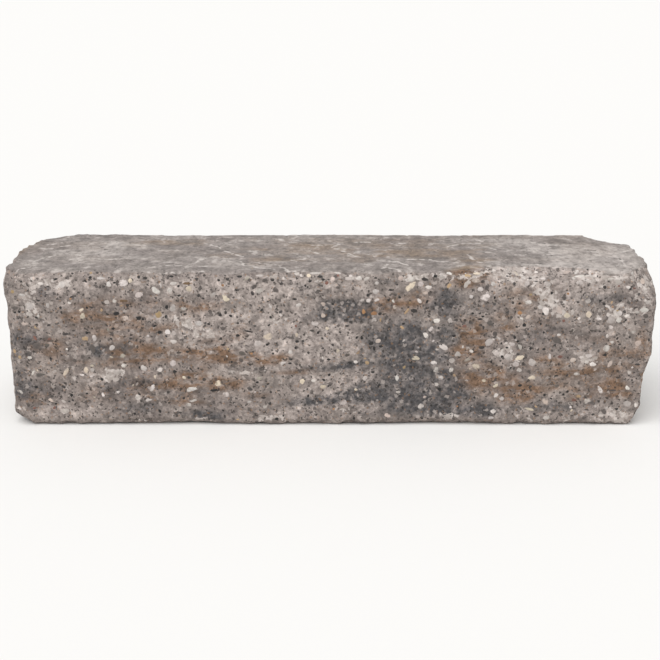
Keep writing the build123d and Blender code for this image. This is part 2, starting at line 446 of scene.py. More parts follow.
# Scuffs on the top face, where stones rubbed: pixels along each one
top_scuffs = [
    [(205, 243), (211, 244), (215, 246), (221, 249)], [(225, 251.5), (230, 253), (236, 255), (242, 256.5)],
    [(241, 262), (245, 265.5), (252, 266.5)], [(256, 268), (263, 268.5), (273, 269.5)],
    [(255, 262.5), (263, 263.5), (274, 265), (281, 267), (288, 270), (296, 271)],
    [(248, 250.5), (258, 250.5)], [(293, 260.5), (304, 259)], [(281, 239), (285, 240.5)],
    [(190, 264), (200, 259.5), (207, 258)], [(201, 266.5), (207, 266.5)], [(313, 245.5), (325, 245.5)],
    [(332, 246.5), (341, 245)], [(356, 242.5), (368, 242)], [(392, 243.5), (404, 243)],
    [(341, 251.5), (350, 254.5), (360, 257)], [(361, 264.5), (372, 265)],
    [(386, 261.5), (400, 262.5), (408, 265.5)], [(384, 268), (388, 265)], [(390, 268.5), (402, 271)],
    [(312, 252.5), (317, 253.5)], [(411, 260), (421, 260)], [(430, 260), (446, 262)],
    [(463, 244), (477, 243)], [(449, 246.5), (455, 245.5)], [(467, 255), (474, 259)],
    [(490, 248.5), (495, 249)], [(476, 240), (480, 241)], [(542, 245), (555, 245)], [(517, 255), (524, 255)],
    [(532, 264), (539, 264.5)], [(587, 251.5), (596, 252)], [(546, 255), (555, 254.5)],
    [(579, 270), (589, 270.5)], [(532, 242.5), (538, 243)], [(595, 255), (605, 257)],
    [(617, 253), (632, 250)], [(620, 259.5), (624, 265)], [(617, 266), (624, 267)], [(62, 246.5), (67, 246)],
    [(72, 259), (76, 258.5)], [(39, 248.5), (50, 249)], [(76, 254.5), (80, 255.5)], [(49, 245), (60, 243)],
    [(34, 261), (53, 255)], [(9, 271), (31, 267)], [(162, 266), (179, 265.5)], [(165, 262.5), (173, 262)],
    [(134, 271.6), (146, 271.4)], [(150, 271.6), (171, 271.3)], [(174, 271.5), (186, 271.4)],
    [(190, 271.4), (203, 271.6)], [(101, 259), (114, 259.5)], [(351, 268), (353, 268)],
    [(480, 262.5), (482, 262.5)], [(116, 254), (118, 254)],
]
far_scuff = 12  # millimetres
scuff_wander = 2.2  # millimetres by which a scuff leaves its line, and the wavelength of that
scuff_wavelength = 14
scuff_level = 0.6  # how squarely a scuffed place faces up


def top_places(pixels):
    """Where the camera's rays through pixels meet the top face: each ray's share of the way is the camera's
    height over the face divided by the ray's fall."""
    rays = pixel_rays(np.array(pixels, dtype=float))
    share = (block_high[2] - camera_place[2]) / rays[..., 2:]
    return (camera_place + share * rays)[..., :2]


def scuff_offsets(scuffs, points):
    """How far points of the top lie from the nearest stretch of a scuff, and how far to the left of its line,
    both in millimetres. The second passes evenly through nought, so a scuff can be thinner than the grid is
    wide."""
    gap = np.full(len(points), far_scuff * MM)
    left = np.full(len(points), far_scuff * MM)
    for scuff in scuffs:
        line = top_places(scuff)
        for start, end in zip(line[:-1], line[1:]):
            run = end - start
            offset = points - start
            share = np.clip(offset @ run / (run @ run), 0, 1)
            reach = np.linalg.norm(offset - share[:, None] * run, axis=-1)
            beside = (run[0] * offset[:, 1] - run[1] * offset[:, 0]) / np.linalg.norm(run)
            left = np.where(reach < gap, beside, left)
            gap = np.minimum(gap, reach)
    return gap / MM, left / MM


wander = np.stack([layered_noise(mm_points, scuff_wavelength, 2, seed) for seed in (41, 42)], axis=-1)
scuff_gap, scuff_left = scuff_offsets(top_scuffs, base_points[:, :2] + wander * scuff_wander * MM)
scuff_gap = np.where(base_normals[:, 2] > scuff_level, scuff_gap, far_scuff)
for name, values in (
    ("brown_cloud", brown), ("anthracite_cloud", anthracite), ("pale_grey_cloud", pale_grey),
    ("lime_bloom", bloom), ("pressed_skin", pressed), ("scuff_gap", scuff_gap), ("scuff_left", scuff_left),
):
    add_value(stone, name, values)

# Colours
stone_colours = {
    "quartz": "#cbc3bd", "limestone": "#c9bba8", "feldspar": "#bfafa5", "chert": "#b7aea8",
    "sandstone": "#a98f70", "ochre": "#a38b66", "flint": "#9f978b", "greywacke": "#58514d",
    "brick": "#77544a", "rust": "#9c7553", "ironstone": "#6d563f",
    "basalt": "#272524", "dolerite": "#3b3735", "slate": "#504b49",
}
pale_grey_paste = "#a69b95"
anthracite_paste = "#525051"
plain_paste = "#857b75"  # what clings to stones, without clouds and then with each kind of them
paste_clouds = [
    (0.7 * pale_grey, pale_grey_paste), (0.8 * anthracite, anthracite_paste), (0.7 * brown, "#755e4a"),
    (0.5 * bloom, "#bfb6af"), (pressed, "#8c847f"),
]


def linear(hex_colour):
    """An sRGB hex colour as linear red, green and blue: a channel over 12.92 up to 0.04045, and above that
    ((channel + 0.055) / 1.055)^2.4."""
    channels = np.array([int(hex_colour[k : k + 2], 16) for k in (1, 3, 5)]) / 255
    return np.where(channels <= 0.04045, channels / 12.92, ((channels + 0.055) / 1.055) ** 2.4)


# Stones that show in the front and along its arris: pixel, length and width in pixels, any turn in degrees
front_stones = {
    "quartz": [
        (94, 338, 6, 6), (30, 358, 5, 3.5), (33, 373, 6.5, 3.2, 60), (92, 376, 6, 3, 35),
        (82, 375, 4.6, 2.8, 5), (67, 349, 3, 3), (21, 392, 5, 3.2, -35), (112, 348, 5.6, 5, 80),
        (167, 332, 6, 5.3), (148, 336, 3.5, 3.5), (173, 341.5, 7.7, 5.3, -20), (124, 366, 5.6, 4.9),
        (143.5, 368, 7, 5.6, -20), (160, 370, 6, 5.6, 35), (152.5, 388, 8.4, 4.6, 60), (192, 389, 9, 4.6, 15),
        (193, 400.5, 7, 2.8, 10), (118.5, 392, 4.2, 3.5), (103, 395, 6, 2.8, 100), (283, 363, 8.4, 3, 25),
        (290, 352, 4.2, 4.2), (322.5, 358, 4.2, 2.8, 90), (355.5, 362, 4.6, 3.2), (313, 381, 4.6, 3.5),
        (397, 378, 5.6, 3.9, 80), (334.5, 423, 9.8, 2.8), (426, 335, 7, 4.2, -55), (443.5, 347.5, 8, 6, -25),
        (434, 363, 6.7, 4.6, -10), (463, 346.5, 3.9, 2.5, 90), (471, 351, 4.2, 3.5), (451, 370, 6, 4, 60),
        (496, 396, 6.7, 5.6, 20), (493, 411, 6, 5.3, -25), (491, 418, 6.7, 4.9), (559, 335, 3.5, 3.2),
        (550, 357, 7.7, 3.2, 95), (592.5, 364, 7, 5), (586.5, 362, 4.2, 4.2), (570.5, 407, 3.2, 3.2),
        (600, 390, 8.5, 4, -58), (627.5, 388, 6.3, 4.2, -30), (606, 348.5, 7.7, 7, 30), (612, 342, 3.9, 3.2),
        (636, 405, 6, 4.5, 60), (61, 284.5, 7.7, 6.3), (100.5, 278, 7.7, 3.5), (41, 283.5, 6.3, 3.2),
        (22, 295, 8, 3.9), (29.5, 306.5, 9, 7, 80), (69.5, 303, 5, 3.5), (124, 283, 8.8, 7, 10),
        (156, 290.5, 8, 6.5, -40), (170, 290.5, 6.3, 5.6, 90), (109, 284.5, 5.6, 5, 90),
        (198.5, 323, 8.8, 6.7, -10), (114.5, 301, 4.2, 3.9), (298, 305, 5.6, 5.3), (270, 306, 7, 3.2, -65),
        (376, 291.5, 6, 5), (368.5, 301, 6, 5.3), (377, 300, 6.3, 2.8, 25), (371.5, 297, 3, 3),
        (393, 301, 5, 2.4, -70), (359, 278.5, 6, 5), (377, 283, 5, 3.5), (338, 273, 8, 2.5),
        (411, 279.5, 10.5, 4, 15), (486, 297, 10.5, 8.8, 20), (471.5, 297, 6, 4.2, -10),
        (419.5, 301, 6, 4, -60), (428.5, 287, 6.3, 4), (437, 320.5, 7.4, 5, 15), (449.5, 273, 7.7, 4.5),
        (493, 284, 5, 4, 90), (536, 272, 4, 2.8), (543, 278.5, 5.6, 4.2), (579, 276, 11, 3.5),
        (546, 311, 7.7, 7, 60), (540.5, 307, 6.3, 5.6), (529, 302.5, 9, 6), (579, 318.5, 3.5, 3.5),
        (521.5, 318.5, 5.6, 2.5, -35), (644, 310, 8, 7.4), (627, 316, 6.3, 4, 30), (620, 313, 5.6, 5),
        (619, 320, 5.6, 5), (599, 319, 6.3, 4.2), (628, 287, 4.2, 4), (632, 273, 6.3, 4.2),
    ],
    "limestone": [
        (65.5, 372.5, 9.5, 4, 60), (37.5, 370.5, 2.8, 2.8), (86, 370, 7.5, 5.6, 90), (111, 357, 3.5, 2, -40),
        (155, 377, 4.2, 3.2, 80), (184, 377.5, 4.6, 2.8, -50), (218, 383, 6.3, 5.6),
        (268, 336.5, 9.5, 6.7, 5), (297, 335, 4.2, 3.5, 80), (302, 382, 6, 5, 80), (338, 351, 5.3, 3.5, 90),
        (323, 387, 7, 4.9), (356, 389.5, 3.2, 2.8), (416, 358, 8, 4.6, -5), (476, 366, 8, 6.7, -15),
        (495.5, 385.5, 6.3, 3.5, 30), (484, 380.5, 5, 4), (532.5, 377.5, 8, 4.6, 15),
        (529.5, 409, 9.1, 3.2, -10), (571.5, 410.5, 3.5, 3, 80), (520, 358, 10, 5, 10),
        (589, 314, 6.7, 5.6, 80), (130, 280.5, 4.6, 4.6, 40), (189, 288.5, 7, 5.3), (226, 299, 11.6, 7, -35),
        (82.5, 315.5, 6, 5, 80), (81, 310, 5.6, 3, 20), (411, 286, 12, 5.6, 42), (327, 328.5, 3.9, 3.2),
        (567, 315, 6.3, 5.6), (477, 273.5, 7.7, 3.2), (309, 275.5, 4.2, 4),
    ],
    "feldspar": [
        (51, 400.5, 8, 4.2, -40), (125, 318, 8, 6, 20), (323, 315.5, 6.7, 6.7), (387.5, 416, 7, 5, -30),
        (425, 397, 3, 3), (573.5, 360, 6.7, 6), (549.5, 412.5, 3.2, 3), (638, 343.5, 7.7, 6.3, 80),
        (610, 364, 9, 3.9, 60), (332.5, 279.5, 6, 5, 50), (401, 278.5, 6, 5.6), (425, 293, 5.6, 4),
        (475.5, 280.5, 9, 5), (566.5, 272, 9, 4), (589.5, 278, 7.4, 5.6), (559, 309.5, 11, 6, -65),
        (528, 317, 5.6, 3.9, 20), (394.5, 307, 4.2, 4.2), (323.5, 304, 5.6, 4, -40), (24.5, 324, 7, 4),
        (15, 277, 4, 2.8), (33.5, 278, 5, 3.5, 90), (545, 402, 7.7, 7), (613.5, 334, 4.2, 3.5),
        (642.5, 281, 7.7, 7), (378.5, 341, 6.3, 4.2),
    ],
    "chert": [
        (92.5, 370, 5, 4.2), (63.5, 401.5, 6, 3, -40), (66, 411, 9, 7), (23.5, 412, 6, 5), (174, 333, 5.3, 5),
        (173, 363.5, 6.3, 5.6, 90), (119, 372, 10, 4, 15), (138, 397.5, 6.3, 5.6, 90), (189, 405, 6, 5),
        (149, 400, 5.3, 3.2), (257.5, 344, 7.7, 6.3), (245, 372.5, 11, 3.5, 5), (226.5, 394, 7, 5.5),
        (265, 406.5, 5, 3.5, 40), (249, 402, 5.6, 3, 15), (365, 378.5, 6.3, 4.9, 35), (398, 392, 4.6, 2.5),
        (343, 403, 8, 6), (403.5, 340.5, 3.5, 2, 35), (431, 329.5, 6.3, 4.9, 75), (437, 349.5, 3.5, 2.8),
        (436, 369, 7, 6.3, 80), (457.5, 354, 7, 6.3, 80), (451.5, 360.5, 7, 5.6), (489, 342, 8.4, 6.3, 60),
        (496.5, 353, 8.4, 6.3), (508, 357.5, 7, 5, 80), (502, 399, 6, 4.6), (421, 406, 6.3, 6.3, 45),
        (436.5, 384, 5.6, 5), (440.5, 377.5, 5.6, 4), (418, 347.5, 2.8, 2.8), (417, 352, 4.2, 2.8),
        (532, 362.5, 7.4, 7, 80), (546, 417.5, 7.7, 5.3), (587.5, 401, 7, 5), (576.5, 374, 6.7, 3.2),
        (589, 356, 6.3, 4.2), (516, 364, 6.3, 6), (520, 347, 7, 3.5, -70), (512, 344, 6, 4),
        (519.5, 370, 5.6, 4.2), (506.5, 356.5, 7.7, 6.3), (629.5, 372.5, 5.3, 4.6), (627, 404, 7.7, 5.6),
        (595.5, 406.5, 4.2, 3), (606.5, 408, 3.2, 3), (633, 332, 6.3, 4.2), (611, 327, 4.2, 4.2),
        (607.5, 336, 5, 3.5, 90), (33, 287.5, 6.3, 5), (47.5, 305, 5, 4.2, 80), (29.5, 314.5, 5.6, 5.6),
        (173.5, 284, 6.3, 3.9), (138.5, 295, 8.4, 6.3), (172.5, 308.5, 7, 5.6, 40), (183.5, 308.5, 7.7, 5.6),
        (188, 322, 6, 5), (106.5, 302, 5, 4), (213, 294.5, 7, 3.2, 40), (259, 291, 9, 6.3),
        (259.5, 275.5, 7.7, 3.5), (297, 273.5, 6.3, 4.2), (318, 281.5, 7.7, 4.2), (349, 278.5, 9, 4),
        (366.5, 278.5, 6, 3, 30), (316, 273.5, 14, 3), (362, 300.5, 5, 4, 40), (374.5, 320, 6, 5, 35),
        (314.5, 323.5, 7, 5), (420.5, 284, 8, 5.6), (450, 320.5, 5.6, 5, 90), (442, 276.5, 6, 4),
        (467, 284, 9, 5, 60), (489, 266, 6.3, 4), (480.5, 289, 6.3, 4.2), (546, 266, 8.4, 4),
        (556, 267.5, 8.4, 4), (580.5, 282.5, 8.4, 5.6), (527, 283.5, 5.6, 5.6), (547.5, 284, 7, 5.6),
        (572.5, 312, 7, 4.2, 80), (588, 301.5, 6.3, 5.6), (611, 320, 8, 7.7, 80), (648, 302.5, 6.3, 5.6),
        (618, 282, 7.7, 5.6), (610.5, 279, 7, 4),
    ],
    "sandstone": [
        (85.5, 338.5, 7, 5.6), (14.5, 351.5, 4.6, 4.6), (20, 357.5, 4.2, 3.9), (367, 363, 4.2, 3.9),
        (365, 358.5, 3.5, 2), (402, 327.5, 5, 3, -35), (536, 406.5, 4.2, 2.6, -35),
        (579, 396.5, 6.7, 3.2, -10), (454.5, 375.5, 4.2, 3.5, 80), (101.5, 310, 3.2, 3.2),
        (406.5, 311.5, 7, 2.8, 60), (380.5, 320, 5, 2.4, 90), (449, 286, 7, 3.5, 40), (467.5, 275.5, 7, 4.5),
        (612, 302.5, 4.2, 2.8, 60), (121.5, 305.5, 4.2, 1.8, 20), (238, 419.5, 3.5, 2), (228, 349, 3, 1.8),
    ],
    "ochre": [
        (158, 314.5, 8, 7, 50), (404, 367, 3.9, 3.5), (35.5, 327.5, 2.8, 2.8), (12.5, 292, 4.2, 3.2, 80),
        (530.5, 294.5, 3, 3), (617.5, 310.5, 2.4, 2.4),
    ],
    "flint": [
        (123, 356, 7.4, 5.3, 10), (468, 359.5, 8, 4.2, 30), (259.5, 378, 7, 4.2), (246.5, 278.5, 8, 3.5, 45),
    ],
    "greywacke": [
        (92.5, 349, 10.5, 6.3, 95), (40, 375, 10.5, 5), (36, 345.5, 8, 6.3), (223, 328.5, 7, 4.2),
        (242.5, 354, 7.7, 4.9, -25), (241, 360, 6.3, 5.3), (256, 370, 7, 5.6, 80), (556.5, 340.5, 9.8, 7),
        (253.5, 286.5, 7, 5, 35), (264.5, 280.5, 7, 5), (301, 290, 7, 5.6), (276, 290, 5.6, 5.3, 80),
        (284, 296, 4.2, 3.5), (14.5, 308, 7, 4), (490, 323.5, 6, 5, 80), (495, 333.5, 6.3, 5, 80),
        (511, 317.5, 4.5, 4.2), (607, 318, 5, 4, 80), (646, 316, 5.6, 5), (628.5, 302.5, 5, 5),
        (564.5, 298, 5, 5), (82.5, 356.5, 4.5, 4.2, 80), (347.5, 355, 5, 2.8, 20), (338, 287.5, 5, 4),
        (311.5, 392.5, 5, 4.2, -55), (556.5, 385.5, 5, 4), (47, 345, 5, 4), (395, 367.5, 5.6, 3.5),
    ],
    "brick": [
        (34.5, 408, 4.2, 2.8), (35, 338, 5, 2.4, -60), (49, 339, 4.2, 2.5, 30), (560.5, 356.5, 6.7, 3.9),
        (574.5, 400, 4.9, 3.5), (327, 283, 3.5, 3.5), (338, 275.5, 3.2, 2.5), (464.5, 326, 4.2, 3.9),
        (563.5, 321, 2.8, 2.8), (619, 286, 2.4, 2.4), (634.5, 288.5, 2.8, 2.1), (394.5, 304, 4.5, 1.6, 5),
        (296, 326, 3.5, 3.2, 80), (54.5, 407.5, 3.5, 2.8, 80),
    ],
    "rust": [
        (101.5, 348.5, 2.5, 2.5), (160, 348, 2.8, 2.4, 80), (251.5, 353.5, 3.2, 2.4, 20),
        (255.5, 352.5, 2.8, 2.4), (333.5, 409, 2.8, 2.5), (223, 285.5, 2.8, 2.8), (520, 313, 4.2, 3.5),
        (568, 293.5, 2.8, 2.5), (70, 299, 3.2, 2.5), (363.5, 312, 5, 4, 80), (374, 313.5, 5.6, 4),
        (612.5, 306.5, 2.8, 2.8),
    ],
    "ironstone": [
        (123, 301, 9, 3.5), (187, 283.5, 6.7, 2.5), (159.5, 387.5, 4.5, 4.5),
    ],
}
front_grit = [
    (98, 353, 5, 4), (65.5, 334, 7, 2.4, -5), (87, 333, 4.2, 3.5), (64, 387, 5.6, 3.5, -25),
    (71.5, 395, 3.5, 3.2), (73, 400.5, 4.2, 2.4, -40), (52.5, 396.5, 3.2, 3.2), (56, 403.5, 3.5, 3.5),
    (32.5, 397.5, 3.5, 3, 80), (36, 387, 5, 3.5), (50.5, 358.5, 3.5, 2.8, 80), (102, 379, 3.5, 3.5),
    (87, 393.5, 3.5, 2.5), (111, 338.5, 2.8, 2.8), (130.5, 338.5, 3.2, 2.5), (187.5, 351.5, 3.5, 2.8),
    (139.5, 368, 3.5, 2.4, 70), (175, 371.5, 4.2, 3.5), (189, 377.5, 3.9, 3.5), (204, 379.5, 4.6, 4.2),
    (139.5, 394.5, 3.2, 2.8), (184, 398, 3.8, 2.8, 60), (160, 411, 4.5, 3, -60), (168, 392.5, 4.2, 2.8, 30),
    (190.5, 368.5, 4.2, 2.4, -55), (135, 414, 2.8, 2.8), (180.5, 412.5, 3.9, 2.5), (238, 335.5, 4.6, 3.5),
    (249, 331.5, 8.4, 2.1, -10), (214.5, 390, 9, 2.8, 5), (257, 382.5, 3.9, 3.2), (250, 389, 5.3, 3.5, -25),
    (263.5, 397.5, 5.3, 2.5), (237, 379, 3.2, 3), (231.5, 362, 3, 3), (273, 353.5, 3.2, 2.5),
    (267.5, 344.5, 4.2, 3, 30), (290, 363.5, 4.2, 2.8), (291, 359.5, 3.5, 2), (297, 341.5, 4.2, 3),
    (295.5, 348, 3.5, 2.8, 90), (303, 341.5, 3.2, 3.2), (283.5, 415.5, 3.2, 3), (276.5, 419, 4.2, 3.5),
    (223, 410.5, 2.8, 2.8), (270, 403.5, 4, 3.5, 80), (268, 384, 3.2, 2.5), (221, 338.5, 3, 3),
    (223.5, 344.5, 4.5, 3), (312.5, 330.5, 4.6, 2.8), (318, 332.5, 3.5, 2.8, 80), (322, 338.5, 4.2, 2.4, -55),
    (332.5, 345, 3.2, 2.8), (323, 348.5, 4.2, 3.2), (308.5, 352.5, 3.2, 3), (328.5, 359.5, 4.6, 2.8),
    (340, 332.5, 3.5, 2.4, -30), (357, 337.5, 3.9, 2.8, 30), (362, 337.5, 4.6, 3.2, 80), (371, 343.5, 5, 4.5),
    (380.5, 346.5, 4.2, 3.2), (374.5, 348.5, 6.3, 3.2, 90), (350, 363, 3.9, 3.2), (333, 367.5, 8, 3.5, 15),
    (324, 380, 5.3, 2.6, -30), (328.5, 386, 3.5, 2.4, 45), (329, 375, 4.2, 3.2, 80), (379, 385.5, 6, 3.2, 55),
    (373, 372, 3.9, 2.8), (354, 418.5, 4.2, 3.5, 80), (362, 399, 4.2, 3.2), (423.5, 392, 5.3, 4.2),
    (439.5, 389, 4.2, 3.9), (483.5, 328, 5, 2.6, 90), (491, 362, 3.5, 3.2, 80), (507, 347.5, 3.5, 2.8),
    (454, 336, 5, 3.2), (482, 347, 5.6, 3.5), (466.5, 372, 3.2, 2.5), (450, 408.5, 3.2, 2.5, 80),
    (449, 379.5, 4.2, 3.5), (489, 414.5, 3, 2), (555, 345.5, 3.5, 2.8), (514.5, 337.5, 4.2, 2.8, 80),
    (517.5, 341.5, 3.2, 3), (533, 344, 2.8, 2.8), (530.5, 348.5, 4.2, 3.2, 80), (538, 349.5, 3.5, 2.5, 80),
    (544.5, 349, 3.9, 2.8), (518, 354, 3.5, 2.8), (567, 375.5, 3.9, 2.8, 80), (556.5, 376, 4.2, 2),
    (585.5, 375, 2.8, 2.6, 80), (520, 385.5, 4.2, 3.2), (530.5, 386.5, 3.5, 3.2), (524, 390, 5, 2.4, 50),
    (544.5, 395, 3.5, 3.2, 60), (551, 398.5, 2.8, 2.5), (563.5, 394.5, 3.5, 3.2), (567.5, 391.5, 3.9, 2.8),
    (593, 414.5, 4.2, 2.6), (594, 343.5, 3.2, 3), (598.5, 351, 3.8, 3.5, 80), (510.5, 368, 4, 3, 80),
    (501.5, 343.5, 3.5, 2.5, 80), (617.5, 338.5, 3.5, 3, 70), (620, 344, 3.9, 3.2), (605, 355, 6, 2.8),
    (637.5, 364.5, 5.6, 2.5), (649, 340, 4, 2.8, 90), (598.5, 401, 3.9, 2.8), (616.5, 409, 4.2, 2.8),
    (612.5, 390.5, 9, 2.4, 10), (56, 279, 5, 2.8, 15), (60.5, 307.5, 3.2, 3.2), (49, 325, 4.2, 3, 25),
    (19, 312, 4, 3.8), (21, 281.5, 3.2, 2.5, 80), (36, 317.5, 3.2, 2.5), (103, 286.5, 3.5, 3.5),
    (85.5, 281, 3.9, 2.8, -40), (87, 307.5, 2.8, 2.8), (91.5, 307.5, 3.5, 2.6), (108, 314.5, 3, 3),
    # The dark grit just below the front's top arris, about pixels 110 to 250 across and rows 275 to 280, is
    # partly black grains and partly painted shadow under the lip of the pressed skin.
    (38, 300.5, 4.5, 3), (90, 277, 3.5, 3.2), (138.5, 277, 3.5, 3.5), (144.5, 277.5, 5.6, 4.2),
    (171.5, 276.5, 5.6, 3.2), (178.5, 286, 3.2, 2.8, 80), (197, 279, 3.9, 2.5), (198.5, 295.5, 3.5, 3.2, 60),
    (203, 298.5, 3.5, 2.5), (178.5, 295.5, 4.2, 2.4, 20), (127.5, 305, 3.9, 2.8), (166.5, 307, 5, 3.5, 90),
    (185, 314, 4.6, 2.5, 25), (138.5, 318, 5, 4.6, 60), (143, 319, 3.9, 3.5, 60), (155, 325.5, 5.3, 2.8, 20),
    (116.5, 313.5, 6, 4.5), (113, 328.5, 3.5, 3.2), (159.5, 332.5, 4.2, 3.9, 60), (205, 323, 3.2, 3.2),
    (156, 298, 3.5, 2.8), (166, 316.5, 4.2, 3.5, 80), (272, 279.5, 5.3, 4.2), (239.5, 276.5, 7, 2.8),
    (227, 279, 4.6, 2.8, -20), (218.5, 280, 3.5, 2.8), (281.5, 284, 4.2, 3.2, 35), (305, 285.5, 3.5, 3.2, 80),
    (236, 290, 4.2, 3.2), (252.5, 293.5, 4.2, 3.2, -60), (250.5, 305.5, 4.2, 2.5, -40),
    (262, 310, 4.6, 3, 25), (280.5, 311.5, 4.6, 3.5, 45), (270.5, 317, 4.2, 3.9), (268, 301.5, 2.8, 2.8),
    (294.5, 299, 5, 2.6), (225.5, 312.5, 4.2, 3.5, 80), (220.5, 314.5, 3.5, 3), (231, 316, 4.6, 3.5, -20),
    (209, 324, 3.5, 2.8), (269, 325, 3.2, 2, 35), (255, 326, 3.5, 2.4), (310, 280.5, 4.6, 3.5),
    (323, 279.5, 4.2, 3.5), (320.5, 276.5, 7, 4), (376, 278, 3.5, 2.8), (390.5, 290, 4.2, 2.5),
    (388.5, 300, 3.2, 3.2), (399.5, 297.5, 3.2, 2.8), (333, 304, 3.5, 3.2), (350.5, 322, 4.2, 4),
    (347, 326, 4.2, 2.5), (368, 295.5, 4.2, 3.5), (425.5, 279.5, 7.7, 4), (435.5, 276.5, 5, 2.8),
    (487.5, 274, 5, 2.5), (483, 281.5, 4.5, 3.5), (414.5, 311, 7, 4), (435.5, 303.5, 3.5, 3.5),
    (427, 302, 4.2, 3.2, 80), (494.5, 297.5, 3.2, 2.8, 80), (494.5, 304, 3.2, 2.8, 80),
    (507.5, 312, 4.8, 2.6, 50), (472.5, 313.5, 4, 3), (479.5, 313.5, 2.8, 2.5), (483, 316.5, 3.2, 2.5),
    (479.5, 319, 5.6, 2.5), (403.5, 323.5, 3.2, 2.8), (456, 320, 4.2, 2.6, 20), (514.5, 284, 4, 3.8),
    (552, 293, 3.2, 3), (531, 302.5, 4.2, 2.8, 80), (519.5, 303.5, 3.2, 2.6), (513, 302.5, 3.5, 2.8, 80),
    (524.5, 325, 5, 3.9), (543, 313.5, 3.5, 3, -40), (578, 302, 3.5, 2.8), (530.5, 278, 4, 3.5),
    (574, 273, 4, 2), (586, 274, 5, 2), (604.5, 287.5, 4.2, 3.5, -30), (630.5, 289, 3.2, 2.8, 80),
    (639, 294.5, 3.5, 3.5), (620, 300.5, 3.5, 2.5, 30), (600.5, 300.5, 3.2, 3), (604, 304, 3.5, 2.8),
    (626, 320, 3.5, 2.8), (621, 323, 3.2, 3), (624.5, 311.5, 4.2, 3.5),
]
pixel_mm = 0.93  # on the front face
least_facing = 0.05  # of a vertex that a stone can be placed by
close_by = 2.5  # millimetres from that vertex

# Stones that the photograph doesn't place: kind, share of them, smallest and largest length in millimetres
gravel_mix = [
    ("quartz", 0.22, 2.4, 10), ("limestone", 0.12, 2.4, 12), ("feldspar", 0.1, 2.4, 9),
    ("chert", 0.3, 2.4, 12), ("sandstone", 0.06, 2.5, 8), ("ochre", 0.03, 2, 7), ("flint", 0.03, 3, 10),
    ("greywacke", 0.08, 3, 11), ("brick", 0.03, 2, 5), ("rust", 0.03, 2, 4), ("ironstone", 0.02, 3, 8),
]
gravel_count = 1500
grit_count = 1300
grit_lengths = (2.0, 5.0)
grit_shares = {"basalt": 0.72, "dolerite": 0.20, "slate": 0.08}
widest = 0.95  # of a stone's length
small_limit = 3.6  # the longest stone, in millimetres, scattered over the front between the placed ones
front_limit = 0.6  # how squarely a stone faces forward that counts as on the front
level_limit = 0.8  # and up or down, as on the top or the bed
skin_cover = 0.985  # the share of stones that the pressed skin hides
overlap = 0.9  # of two stones' reach, nearer than which one hides the other
fixed_rank = 1e3  # above every length in millimetres
rank_step = 1e-6

# How stones sit in the skin, in millimetres, and what sets one apart from the next
rim_dip = 0.03
root_depth = 1.2
rim_coat = 0.20  # how much more of the paste clings to the rim
placed_shades = (0.82, 1.16)
scattered_shades = (0.60, 1.08)
hue_drift = (0.985, 1.015)
placed_coats = (-0.13, 0.05)
scattered_coats = (-0.06, 0.22)
outline_step = np.array([7.31, 3.77, 5.93])  # from one stone's outline to the next in the noise
outline_wavelength = 1.1
map_margin = 0.04

rng = np.random.default_rng(7)
quad_diagonals = points[quads[:, 2:]] - points[quads[:, :2]]
quad_area = np.linalg.norm(np.cross(quad_diagonals[:, 0], quad_diagonals[:, 1]), axis=-1) / 2
quad_cover = 1 - skin_cover * pressed[quads].mean(axis=1)
quad_chance = quad_area * quad_cover / (quad_area * quad_cover).sum()


def placed_stones(rows):
    """Nearest vertices, surface places and outward directions of stones given by pixel: the skin vertex
    nearest to the pixel among those that face the camera, then the pixel's ray met with the tangent plane
    there, if that is close by. Their sizes in millimetres and turns follow."""
    table = np.array([(*row, 0)[:5] for row in rows], dtype=float)
    in_sight = np.flatnonzero(facing > least_facing)
    seen_at = pixels_of(points[in_sight])
    nearest = in_sight[((table[:, None, :2] - seen_at[None]) ** 2).sum(axis=-1).argmin(axis=1)]
    rays = pixel_rays(table[:, :2])
    outward = base_normals[nearest]
    share = ((points[nearest] - camera_place) * outward).sum(axis=-1) / (rays * outward).sum(axis=-1)
    places = camera_place + share[:, None] * rays
    close = np.linalg.norm(places - points[nearest], axis=-1, keepdims=True) < close_by * MM
    places = np.where(close, places, points[nearest])
    return nearest, places, outward, table[:, 2:4] * pixel_mm, np.radians(table[:, 4])


def scattered_places(count):
    """Random places on the skin, as many to a square millimetre as its cover lets show, each with a vertex
    beside it and its outward direction."""
    quad = quads[rng.choice(len(quads), count, p=quad_chance)]
    u, v = rng.random((2, count, 1))
    weights = np.stack([(1 - u) * (1 - v), u * (1 - v), u * v, (1 - u) * v], axis=1)
    outward = unit((base_normals[quad] * weights).sum(axis=1))
    return quad[:, 0], (points[quad] * weights).sum(axis=1), outward


def random_sizes(count, shortest, longest, power, slimmest):
    """Lengths and widths of stones: from the shortest to the longest by a random number to a power, so that
    short ones are many, and each width a random share of its length."""
    length = shortest + (longest - shortest) * rng.random(count) ** power
    return np.column_stack([length, length * rng.uniform(slimmest, widest, count)])


